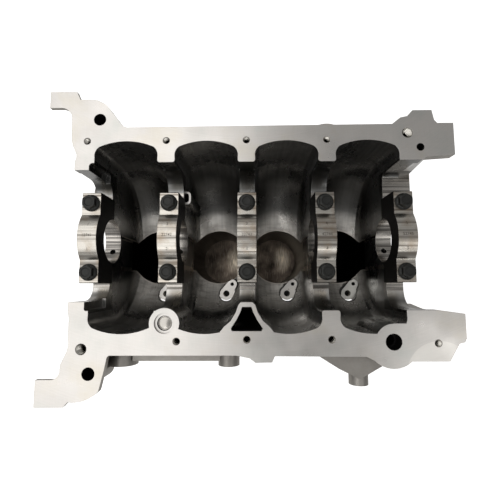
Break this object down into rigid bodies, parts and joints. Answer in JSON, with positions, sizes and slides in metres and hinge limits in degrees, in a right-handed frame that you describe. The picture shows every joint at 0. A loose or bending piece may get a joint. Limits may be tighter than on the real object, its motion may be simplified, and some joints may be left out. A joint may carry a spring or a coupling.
{
  "type": "engine block",
  "caption": "Inline engine block with a deep skirt, open crankcase bays, bolted main bearing caps, joined barrels and transmission ears, standing on its head deck.",
  "frame": {"origin": "on the head deck, straight under the crank axis at the middle main bearing", "axes": "+X along the crank from the transmission end to the timing end; +Z from the head deck to the pan rail; +Y to the rail without the oil drain"},
  "size_m": [0.4642, 0.3473, 0.282],
  "materials": {
    "block_aluminium": "as-cast inside, machined faces",
    "liner_iron": "honed",
    "cap_iron": "machined",
    "bolt_black_steel": "black oxide",
    "plug_steel": "bright zinc",
    "dowel_steel": "ground"
  },
  "bodies": {
    "root": {"block_casting": "block_aluminium", "cylinder_liner_1": "liner_iron", "cylinder_liner_2": "liner_iron", "cylinder_liner_3": "liner_iron", "cylinder_liner_4": "liner_iron", "main_cap_1": "cap_iron", "main_cap_2": "cap_iron", "main_cap_3": "cap_iron", "main_cap_4": "cap_iron", "main_cap_5": "cap_iron", "main_cap_bolts_1": "bolt_black_steel", "main_cap_bolts_2": "bolt_black_steel", "main_cap_bolts_3": "bolt_black_steel", "main_cap_bolts_4": "bolt_black_steel", "main_cap_bolts_5": "bolt_black_steel", "rail_cup_plug": "plug_steel", "gallery_plug_rear": "plug_steel", "gallery_plug_front": "plug_steel", "transmission_dowel_1": "dowel_steel", "transmission_dowel_2": "dowel_steel", "cover_dowel_1": "dowel_steel", "cover_dowel_2": "dowel_steel"}
  },
  "joints": []
}
